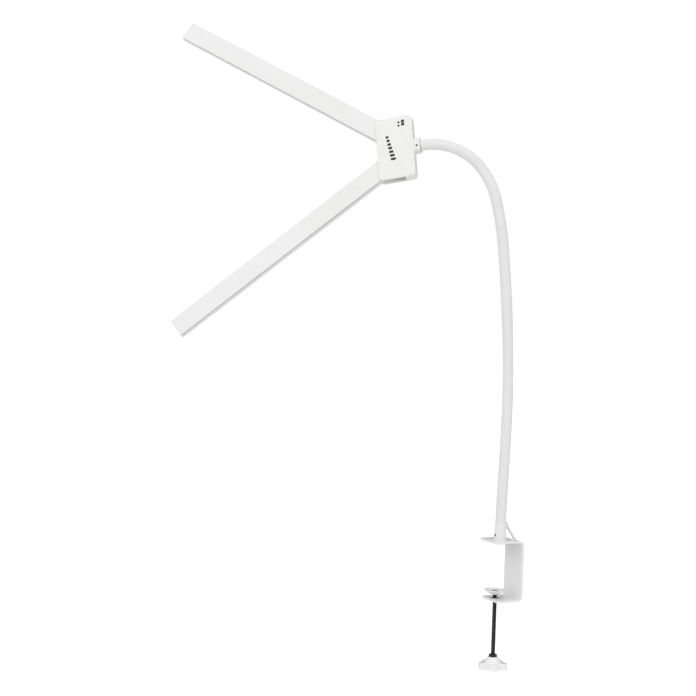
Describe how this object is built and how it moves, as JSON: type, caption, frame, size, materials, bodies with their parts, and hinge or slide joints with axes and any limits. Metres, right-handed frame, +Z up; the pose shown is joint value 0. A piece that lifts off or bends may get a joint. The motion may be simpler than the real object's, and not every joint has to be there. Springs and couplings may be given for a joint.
{
  "type": "architect desk lamp",
  "caption": "White clamp-on desk lamp: C-clamp, flexible neck, flat swivelling hub and two hinged LED bars that fold from parallel to in line.",
  "frame": {"origin": "on the desk top under the clamp's upper jaw, on the axis of the neck's socket", "axes": "+Z up; the clamp opens towards -Y, its web is on the +Y side; X is along the desk's edge; the neck reaches forward and 38.9 degrees towards -X"},
  "size_m": [0.3366, 0.3818, 0.7287],
  "materials": {
    "clamp_powder_coat": "satin white powder coat",
    "neck_sleeve": "smooth matt white silicone sleeve",
    "socket_white": "satin white paint",
    "hub_white": "fine matt white moulding",
    "bar_aluminium": "satin white painted extrusion",
    "bar_cap_white": "matt white moulding",
    "opal_lens": "opal diffuser, frosted",
    "board_white": "white solder mask",
    "board_green": "green solder mask",
    "led_yellow": "phosphor",
    "knob_white": "glossy white moulding",
    "dark_steel": "blackened steel, oiled",
    "zinc_steel": "zinc plated",
    "washer_nylon": "natural nylon",
    "grey_rubber": "soft foam rubber",
    "cord_white": "soft white cable jacket",
    "tie_white": "woven hook-and-loop tape",
    "plug_white": "white overmould",
    "plug_metal": "nickel plated"
  },
  "bodies": {
    "clamp": {"clamp_bracket": "clamp_powder_coat", "jaw_pad": "grey_rubber", "thread_insert": "zinc_steel", "neck_socket": "socket_white", "socket_bolt": "zinc_steel", "socket_grub_screw": "dark_steel", "neck_link_1": "neck_sleeve", "cord_boot": "cord_white", "cord_lead": "cord_white", "cord_hank": "cord_white", "cord_tail": "cord_white", "cord_tie": "tie_white", "plug_body": "plug_white", "plug_shell": "plug_metal", "plug_tongue": "plug_white"},
    "neck_2": {"neck_link_2": "neck_sleeve"},
    "neck_3": {"neck_link_3": "neck_sleeve"},
    "neck_4": {"neck_link_4": "neck_sleeve"},
    "neck_5": {"neck_link_5": "neck_sleeve"},
    "neck_6": {"neck_link_6": "neck_sleeve"},
    "neck_7": {"neck_link_7": "neck_sleeve"},
    "neck_8": {"neck_link_8": "neck_sleeve"},
    "neck_9": {"neck_link_9": "neck_sleeve", "neck_spigot": "zinc_steel", "swivel_clip": "zinc_steel"},
    "hub": {"hub_back_cover": "hub_white", "hub_front_cover": "hub_white", "neck_collar": "hub_white", "collar_screw": "dark_steel", "hub_board": "board_green", "pivot_pins": "zinc_steel", "friction_washers": "washer_nylon", "hub_screws": "zinc_steel"},
    "upper_bar": {"upper_housing": "bar_aluminium", "upper_hinge_end": "hub_white", "upper_end_cap": "bar_cap_white", "upper_diffuser": "opal_lens", "upper_led_board": "board_white", "upper_leds": "led_yellow"},
    "lower_bar": {"lower_housing": "bar_aluminium", "lower_hinge_end": "hub_white", "lower_end_cap": "bar_cap_white", "lower_diffuser": "opal_lens", "lower_led_board": "board_white", "lower_leds": "led_yellow"},
    "pressure_foot": {"pressure_pad": "clamp_powder_coat", "pad_rivet": "zinc_steel"},
    "screw": {"clamp_screw": "dark_steel", "clamp_knob": "knob_white", "knob_nut": "dark_steel"}
  },
  "joints": [
    {"name": "neck_bend_1", "type": "hinge", "parent": "clamp", "child": "neck_2", "pos_m": [0.0007, 0.00087, 0.06709], "axis": [0.7782, -0.628, 0], "range_deg": [-16, 16]},
    {"name": "neck_side_2", "type": "hinge", "parent": "neck_2", "child": "neck_3", "pos_m": [0.00175, 0.00217, 0.13106], "axis": [-0.6279, -0.7781, 0.0175], "range_deg": [-18, 18]},
    {"name": "neck_bend_3", "type": "hinge", "parent": "neck_3", "child": "neck_4", "pos_m": [0.0014, 0.00173, 0.19605], "axis": [0.7782, -0.628, 0], "range_deg": [-18, 18]},
    {"name": "neck_side_4", "type": "hinge", "parent": "neck_4", "child": "neck_5", "pos_m": [-0.00085, -0.00105, 0.26095], "axis": [-0.6262, -0.7761, -0.075], "range_deg": [-20, 20]},
    {"name": "neck_bend_5", "type": "hinge", "parent": "neck_5", "child": "neck_6", "pos_m": [-0.00458, -0.00568, 0.32568], "axis": [0.7782, -0.628, 0], "range_deg": [-20, 20]},
    {"name": "neck_side_6", "type": "hinge", "parent": "neck_6", "child": "neck_7", "pos_m": [-0.01073, -0.01329, 0.37873], "axis": [-0.6074, -0.7528, -0.2538], "range_deg": [-22, 22]},
    {"name": "neck_bend_7", "type": "hinge", "parent": "neck_7", "child": "neck_8", "pos_m": [-0.02212, -0.02741, 0.41403], "axis": [0.7782, -0.628, 0], "range_deg": [-28, 12]},
    {"name": "neck_bend_8", "type": "hinge", "parent": "neck_8", "child": "neck_9", "pos_m": [-0.04096, -0.05077, 0.43489], "axis": [0.7782, -0.628, 0], "range_deg": [-30, 12]},
    {"name": "hub_swivel", "type": "hinge", "parent": "neck_9", "child": "hub", "pos_m": [-0.06934, -0.08593, 0.43647], "axis": [-0.6174, -0.7652, -0.1822], "range_deg": [-60, 90]},
    {"name": "upper_bar_fold", "type": "hinge", "parent": "hub", "child": "upper_bar", "pos_m": [-0.09132, -0.10411, 0.44518], "axis": [-0.6745, 0.6342, -0.3779], "range_deg": [-39.1, 50.9]},
    {"name": "lower_bar_fold", "type": "hinge", "parent": "hub", "child": "lower_bar", "pos_m": [-0.07934, -0.10738, 0.41831], "axis": [0.6745, -0.6342, 0.3779], "range_deg": [-32, 58]},
    {"name": "foot_lift", "type": "slide", "parent": "clamp", "child": "pressure_foot", "axis": [0, 0, 1], "range_m": [-0.0032, 0.051]},
    {"name": "screw_turn", "type": "hinge", "parent": "pressure_foot", "child": "screw", "pos_m": [0, -0.0042, -0.1], "axis": [0, 0, 1], "range_deg": [-1500, 23000]}
  ],
  "couplings": [
    {"joint": "screw_turn", "follows": "foot_lift", "rad_per_m": 7854}
  ]
}
